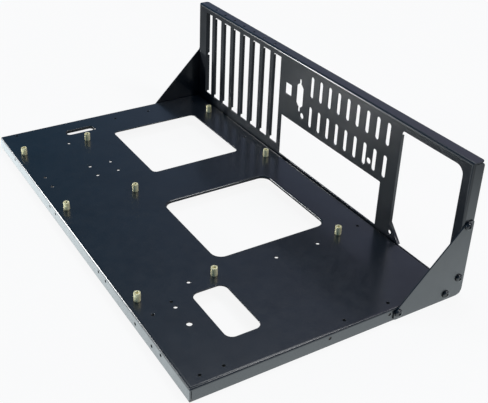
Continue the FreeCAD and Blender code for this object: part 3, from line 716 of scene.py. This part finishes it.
@dataclass(frozen=True)
class PanHeadScrew:
    """A pan-head machine screw with a cross recess, its head up along Z."""

    head: float = 3.6 * MM
    crown: float = 2.2 * MM
    rim: float = 0.75 * MM
    rim_round: float = 0.12 * MM
    dome_fullness: float = 0.55
    dome_steps: int = 8
    head_facets: int = 40
    shank: float = 1.75 * MM
    length: float = 6.0 * MM
    pitch: float = 0.6 * MM
    thread_depth: float = 0.3 * MM
    tip: float = 0.4 * MM
    tip_narrowing: float = 0.45 * MM
    tip_shoulder: float = 0.2 * MM
    tip_facets: int = 24
    recess_reach: float = 1.9 * MM
    recess_width: float = 1.05 * MM
    recess_depth: float = 1.4 * MM
    recess_mouth: float = 2.0
    recess_floor: float = 0.9
    recess_narrowing: float = 0.8
    cutter_excess: float = 0.2 * MM

    def _head(self) -> bpy.types.Mesh:
        """Makes the domed head with its cross recess cut in."""
        profile = [
            (0.0, 0.0),
            (self.head - self.rim_round, 0.0),
            (self.head, self.rim_round),
            (self.head, self.rim),
        ]
        for step in range(1, self.dome_steps + 1):
            angle = math.pi / 2 * step / self.dome_steps
            at_middle = step == self.dome_steps
            radius = 0.0 if at_middle else self.head * math.cos(angle) ** self.dome_fullness
            profile.append((radius, self.rim + (self.crown - self.rim) * math.sin(angle)))
        head = to_mesh(lathe(profile, self.head_facets), "screw_head")
        return cut_away(head, [self._arm(0.0), self._arm(math.pi / 2)])

    def _arm(self, turn: float) -> bpy.types.Mesh:
        """Makes one tapered arm of the cross recess, turned about Z."""
        arm = bmesh.new()
        bmesh.ops.create_cube(arm, size=1.0)
        roof = self.crown + self.cutter_excess
        floor = self.crown - self.recess_depth
        for corner in arm.verts:
            at_top = corner.co.z > 0
            corner.co.x *= self.recess_reach * (self.recess_mouth if at_top else self.recess_floor)
            corner.co.y *= self.recess_width * (1.0 if at_top else self.recess_narrowing)
            corner.co.z = roof if at_top else floor
        arm.transform(Matrix.Rotation(turn, 4, "Z"))
        bmesh.ops.recalc_face_normals(arm, faces=arm.faces)
        return to_mesh(arm, "recess_arm")

    def build(self) -> bmesh.types.BMesh:
        """Makes the screw, its bearing face at 0."""
        shape = bmesh.new()
        shape.from_mesh(self._head())
        end = -self.length
        join(shape, thread(self.shank, self.thread_depth, self.pitch, end + self.tip, 0.0))
        point = [
            (0.0, end),
            (self.shank - self.tip_narrowing, end),
            (self.shank - self.tip_shoulder, end + self.tip),
        ]
        join(shape, lathe(point, self.tip_facets))
        return shape


@dataclass(frozen=True)
class Standoff:
    """A round threaded standoff with its stud below."""

    outside: float = 3.0 * MM
    height: float = 8.0 * MM
    bevel: float = 0.35 * MM
    foot_bevel: float = 0.5
    edge_break: float = 0.3
    facets: int = 48
    bore: float = 1.45 * MM
    bore_depth: float = 6.0 * MM
    bore_thread: float = 0.18 * MM
    stud: float = 1.72 * MM
    stud_length: float = 3.6 * MM
    stud_thread: float = 0.28 * MM
    stud_root: float = 0.3 * MM
    tip: float = 0.4 * MM
    tip_narrowing: float = 0.4 * MM
    tip_shoulder: float = 0.2 * MM
    inner_facets: int = 24
    pitch: float = 0.7 * MM

    def _body(self) -> bmesh.types.BMesh:
        """Turns the outside, from under the shoulder to the mouth of the bore."""
        top = self.height
        outer = self.outside
        foot = self.bevel * self.foot_bevel
        broken = self.bevel * self.edge_break
        profile = [
            (self.stud - self.stud_root, 0.0),
            (outer - foot, 0.0),
            (outer, foot),
            (outer, top - self.bevel),
            (outer - broken, top - broken),
            (outer - self.bevel, top),
            (self.bore + self.bevel, top),
            (self.bore, top - self.bevel),
        ]
        return lathe(profile, self.facets)

    def build(self) -> bmesh.types.BMesh:
        """Makes the standoff upright, its shoulder at 0."""
        shape = self._body()
        well = self.height - self.bore_depth
        join(shape, thread(self.bore, self.bore_thread, self.pitch, well, self.height - self.bevel))
        join(shape, lathe([(0.0, well), (self.bore, well)], self.inner_facets))
        end = -self.stud_length
        shoulder = self.tip - self.stud_length
        join(shape, thread(self.stud, self.stud_thread, self.pitch, shoulder, 0.0))
        point = [
            (0.0, end),
            (self.stud - self.tip_narrowing, end),
            (self.stud - self.tip_shoulder, shoulder),
        ]
        join(shape, lathe(point, self.inner_facets))
        return shape


@dataclass(frozen=True)
class Hardware:
    """The gusset screws and the board standoffs.

    Each piece is turned about its own axis by its number times an angle in radians, so that no two
    look the same.
    """

    screw_finish: bpy.types.Material
    brass_finish: bpy.types.Material
    screw: PanHeadScrew = PanHeadScrew()
    screws_per_side: int = 4
    screw_turn: float = 0.9
    standoff: Standoff = Standoff()
    standoffs: int = 9
    standoff_turn: float = 1.3
    crease: float = 35.0

    def build(self) -> None:
        """Makes the screws of both sides and the standoffs."""
        for side, sign in (("left", -1), ("right", 1)):
            for number in range(1, self.screws_per_side + 1):
                self._gusset_screw(side, sign, number)
        for number in range(1, self.standoffs + 1):
            self._board_standoff(number)

    def _gusset_screw(self, side: str, sign: int, number: int) -> None:
        """Puts one screw into a gusset.

        Args:
            side: The gusset's side, left or right.
            sign: The way that the screw's head points along X.
            number: The screw's number.
        """
        node = f"{side}_gusset_screw_{number}"
        low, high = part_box(node)
        outermost = high.x if sign > 0 else low.x
        middle = (low + high) / 2
        seat = Vector((outermost - sign * self.screw.crown, middle.y, middle.z))
        turn = Matrix.Rotation(math.pi / 2 * sign, 4, "Y")
        spin = Matrix.Rotation(number * self.screw_turn, 4, "Z")
        shape = self.screw.build()
        shape.transform(Matrix.Translation(seat) @ turn @ spin)
        self._put(shape, node, self.screw_finish)

    def _board_standoff(self, number: int) -> None:
        """Puts the standoff of a number on the tray."""
        node = f"board_standoff_{number}"
        low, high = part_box(node)
        middle = (low + high) / 2
        foot = Vector((middle.x, middle.y, high.z - self.standoff.height))
        spin = Matrix.Rotation(number * self.standoff_turn, 4, "Z")
        shape = self.standoff.build()
        shape.transform(Matrix.Translation(foot) @ spin)
        self._put(shape, node, self.brass_finish)

    def _put(self, shape: bmesh.types.BMesh, node: str, finish: bpy.types.Material) -> None:
        """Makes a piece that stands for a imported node.

        Args:
            shape: The piece's geometry, in place.
            node: The node that it replaces.
            finish: The finish.
        """
        bmesh.ops.recalc_face_normals(shape, faces=shape.faces)
        mesh = to_mesh(shape, node)
        shade(mesh, self.crease)
        piece = make_piece(f"{node}_detailed", mesh, finish)
        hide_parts(node)


# ---------------------------------------------------------------------------------------------
# Studio
# ---------------------------------------------------------------------------------------------


@dataclass(frozen=True)
class SoftBox:
    """A square area lamp that looks at the object."""

    name: str
    place: tuple[float, float, float]
    width: float
    power: float

    def build(self, target: Vector) -> None:
        """Makes the lamp.

        Args:
            target: The point that it faces.
        """
        light = bpy.data.lights.new(self.name, "AREA")
        light.shape = "SQUARE"
        light.size = self.width
        light.energy = self.power
        lamp = bpy.data.objects.new(self.name, light)
        lamp.location = self.place
        lamp.rotation_mode = "QUATERNION"
        lamp.rotation_quaternion = (target - lamp.location).to_track_quat("-Z", "Y")
        bpy.context.scene.collection.objects.link(lamp)


@dataclass(frozen=True)
class Studio:
    """A white floor under soft light.

    The floor's glow is what the camera sees, with painted shadow just inside the front and right
    flanges. Reflections see a painted pool of light on the floor that fades with the distance, a
    painted shadow under and behind the chassis and a painted blue cast. Ranges are in metres.
    """

    floor_half: float = 8.0
    floor_glow: float = 0.9
    paper_tones: tuple[float, float] = (0.80, 0.83)
    paper_grain: float = 0.3
    paper_edges: tuple[float, float] = (0.3, 0.7)
    # Painted blue cast of the floor as reflections see it.
    painted_reflection_tint: tuple[float, float, float] = (0.88, 0.97, 1.0)
    # Painted pool of light on the floor that reflections see, and a painted fall-off of that light
    # away from the chassis.
    painted_pool_place: tuple[float, float, float] = (-0.22, -0.30, 0.0)
    painted_pool_reach: tuple[float, float] = (0.15, 0.60)
    painted_pool_shine: tuple[float, float] = (2.6, 1.2)
    painted_falloff_place: tuple[float, float, float] = (0.0, 0.0, 0.0)
    painted_falloff_reach: tuple[float, float] = (0.30, 0.60)
    painted_falloff_shine: tuple[float, float] = (1.0, 0.08)
    # Painted shadow: how bright the floor under and behind the chassis stays, to reflections and,
    # inside the flanges, to the camera.
    painted_shadow_level: float = 0.12
    shaded_border: float = 20 * MM
    cool: tuple[float, float, float] = (0.05, 0.12, 0.20)
    warm: tuple[float, float, float] = (0.31, 0.31, 0.41)
    sky_edges: tuple[float, float] = (0.25, 0.70)
    boxes: tuple[SoftBox, ...] = (
        SoftBox("front_left_box", (-1.60, -1.40, 0.36), 0.5, 28.0),
        SoftBox("rear_right_box", (1.10, 0.90, 1.55), 0.5, 14.0),
        SoftBox("top_box", (-0.5, 0.5, 2.2), 1.2, 14.0),
    )

    def build(self) -> None:
        """Makes the floor, the lamps and the surroundings."""
        low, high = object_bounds()
        centre = (low + high) / 2
        for box in self.boxes:
            box.build(centre)
        self._floor(low.z)
        self._world()

    def _floor(self, height: float) -> None:
        """Lays the floor at a height."""
        half = self.floor_half
        mesh = bpy.data.meshes.new("floor")
        corners = [(x * half, y * half, height) for x, y in ((-1, -1), (1, -1), (1, 1), (-1, 1))]
        mesh.from_pydata(corners, [], [(0, 1, 2, 3)])
        floor = bpy.data.objects.new("floor", mesh)
        bpy.context.scene.collection.objects.link(floor)
        mesh.materials.append(self._floor_finish())
        floor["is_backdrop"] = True

    def _floor_finish(self) -> bpy.types.Material:
        """Makes the paper, bright to the camera and to reflections, plain to all other light; both
        bright parts hold painted shadow, and reflections also see a painted pool of light and a
        painted blue cast.
        """
        material, graph, place = new_material("floor_paper")
        dim, pale = self.paper_tones
        clouds = graph.noise(place, self.paper_grain, detail=2)
        tone = graph.ramp(clouds, self.paper_edges, ((dim, dim, dim), (pale, pale, pale)))
        paper = graph.add("ShaderNodeBsdfDiffuse", {"Color": tone})
        glow = graph.add(
            "ShaderNodeEmission", {"Color": WHITE, "Strength": self._seen_level_with_painted_shade(graph, place)}
        )
        # What reflections see: the floor with a painted pool of light, painted shadow and a painted
        # blue cast.
        mirrored = graph.add(
            "ShaderNodeEmission", {"Color": (*self.painted_reflection_tint, 1), "Strength": self._reflected_level_with_painted_light(graph, place)}
        )
        rays = graph.add("ShaderNodeLightPath")
        camera = rays.outputs["Is Camera Ray"]
        glossy = rays.outputs["Is Glossy Ray"]
        bright = graph.mix(glossy, glow.outputs[0], mirrored.outputs[0])
        share = graph.combine("MULTIPLY", graph.combine("MAXIMUM", camera, glossy), self.floor_glow)
        mixed = graph.mix(share, paper.outputs[0], bright)
        graph.add("ShaderNodeOutputMaterial", {"Surface": mixed})
        return material

    def _reflected_level_with_painted_light(self, graph: Graph, place: bpy.types.NodeSocket) -> bpy.types.NodeSocket:
        """Gives how bright reflections see the floor: a painted pool of light with its painted
        fall-off, darkened by a painted shadow under and behind the chassis.

        Args:
            graph: The floor's node tree.
            place: The coordinates, in metres.

        Returns:
            The level.
        """
        low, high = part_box("base_tray")
        # Painted pool of light and painted fall-off of that light with distance.
        pool = self._fading(graph, place, self.painted_pool_place, self.painted_pool_reach, self.painted_pool_shine)
        paper = self._fading(graph, place, self.painted_falloff_place, self.painted_falloff_reach, self.painted_falloff_shine)
        # Painted shadow on the floor under and behind the chassis, as reflections see it.
        left_front = Vector((-self.floor_half, low.y, 0))
        right_rear = Vector((high.x, self.floor_half, 0))
        covered = self._inside(graph, place, left_front, right_rear)
        shadow = graph.stretch(covered, (0.0, 1.0), (1.0, self.painted_shadow_level))
        return graph.combine("MULTIPLY", graph.combine("MULTIPLY", pool, paper), shadow)

    def _seen_level_with_painted_shade(self, graph: Graph, place: bpy.types.NodeSocket) -> bpy.types.NodeSocket:
        """Gives how bright the camera sees the floor, with painted shadow just inside the front and
        right flanges.

        Args:
            graph: The floor's node tree.
            place: The coordinates, in metres.

        Returns:
            The level.
        """
        low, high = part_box("base_tray")
        front_edge = low + Vector((0, self.shaded_border, 0))
        right_edge = high - Vector((self.shaded_border, 0, 0))
        footprint = self._inside(graph, place, low, high)
        open_part = self._inside(graph, place, front_edge, right_edge)
        # Painted shadow in a border inside the front and right flanges, as the camera sees the floor.
        painted_shade_ring = graph.combine("SUBTRACT", footprint, open_part)
        return graph.stretch(painted_shade_ring, (0.0, 1.0), (1.0, self.painted_shadow_level))

    @staticmethod
    def _inside(
        graph: Graph, place: bpy.types.NodeSocket, low: Vector, high: Vector
    ) -> bpy.types.NodeSocket:
        """Marks the floor inside an upright box.

        Args:
            graph: The node tree.
            place: The coordinates, in metres.
            low: The box's lowest corner.
            high: The box's highest corner.

        Returns:
            1 inside and 0 outside.
        """
        parts = graph.add("ShaderNodeSeparateXYZ", {"Vector": place})
        tests = []
        for axis, least, most in (("X", low.x, high.x), ("Y", low.y, high.y)):
            tests.append(graph.combine("GREATER_THAN", parts.outputs[axis], least))
            tests.append(graph.combine("LESS_THAN", parts.outputs[axis], most))
        result = tests[0]
        for test in tests[1:]:
            result = graph.combine("MULTIPLY", result, test)
        return result

    @staticmethod
    def _fading(
        graph: Graph,
        place: bpy.types.NodeSocket,
        middle: tuple[float, float, float],
        reach: tuple[float, float],
        levels: tuple[float, float],
    ) -> bpy.types.NodeSocket:
        """Gives a level that fades with the distance from a point.

        Args:
            graph: The node tree.
            place: The coordinates, in metres.
            middle: The point.
            reach: The distances where the fading starts and ends.
            levels: The level at the start and at the end.

        Returns:
            The level.
        """
        away = graph.add("ShaderNodeVectorMath", {0: place, 1: middle}, operation="DISTANCE")
        return graph.stretch(away.outputs["Value"], reach, levels)

    def _world(self) -> None:
        """Surrounds the object with a dim sky, cooler in front, that the camera sees as white."""
        world = bpy.data.worlds.new("studio")
        world.use_nodes = True
        bpy.context.scene.world = world
        graph = Graph(world.node_tree)
        heading = graph.add("ShaderNodeTexCoord").outputs["Generated"]
        toward_rear = graph.add("ShaderNodeSeparateXYZ", {"Vector": heading}).outputs["Y"]
        sky = graph.ramp(toward_rear, self.sky_edges, (self.cool, self.warm))
        dim = graph.add("ShaderNodeBackground", {"Color": sky, "Strength": 1.0})
        white = graph.add("ShaderNodeBackground", {"Color": WHITE, "Strength": 1.0})
        camera = graph.add("ShaderNodeLightPath").outputs["Is Camera Ray"]
        mixed = graph.mix(camera, dim.outputs[0], white.outputs[0])
        graph.add("ShaderNodeOutputWorld", {"Surface": mixed})


@dataclass(frozen=True)
class View:
    """The camera's place and lens; its turn is in degrees."""

    place: tuple[float, float, float] = (0.608258, -0.344619, 0.443052)
    turn: tuple[float, float, float] = (61.9436, -1.0610, 60.1649)
    lens: float = 61.494
    shift: tuple[float, float] = (0.06476, -0.11081)
    nearest: float = 0.01
    furthest: float = 50.0

    def build(self) -> None:
        """Makes the camera."""
        camera = bpy.data.cameras.new("camera")
        camera.lens = self.lens
        camera.shift_x, camera.shift_y = self.shift
        camera.clip_start = self.nearest
        camera.clip_end = self.furthest
        item = bpy.data.objects.new("camera", camera)
        item.location = self.place
        item.rotation_euler = [math.radians(angle) for angle in self.turn]
        bpy.context.scene.collection.objects.link(item)
        bpy.context.scene.camera = item


# ---------------------------------------------------------------------------------------------
# Assembly
# ---------------------------------------------------------------------------------------------


def main() -> None:
    """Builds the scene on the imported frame."""
    logging.basicConfig(level=logging.INFO, format="%(message)s")
    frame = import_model()
    materials = finishes()
    Sheets(materials[Slot.SHEET]).build()
    Hardware(materials[Slot.SCREW], materials[Slot.BRASS]).build()
    LOG.info("dressed %d packed nodes", len(frame["nodes"]))
    View().build()
    Studio().build()
    bpy.context.scene.view_settings.view_transform = "Standard"


if __name__ == "__main__":
    main()
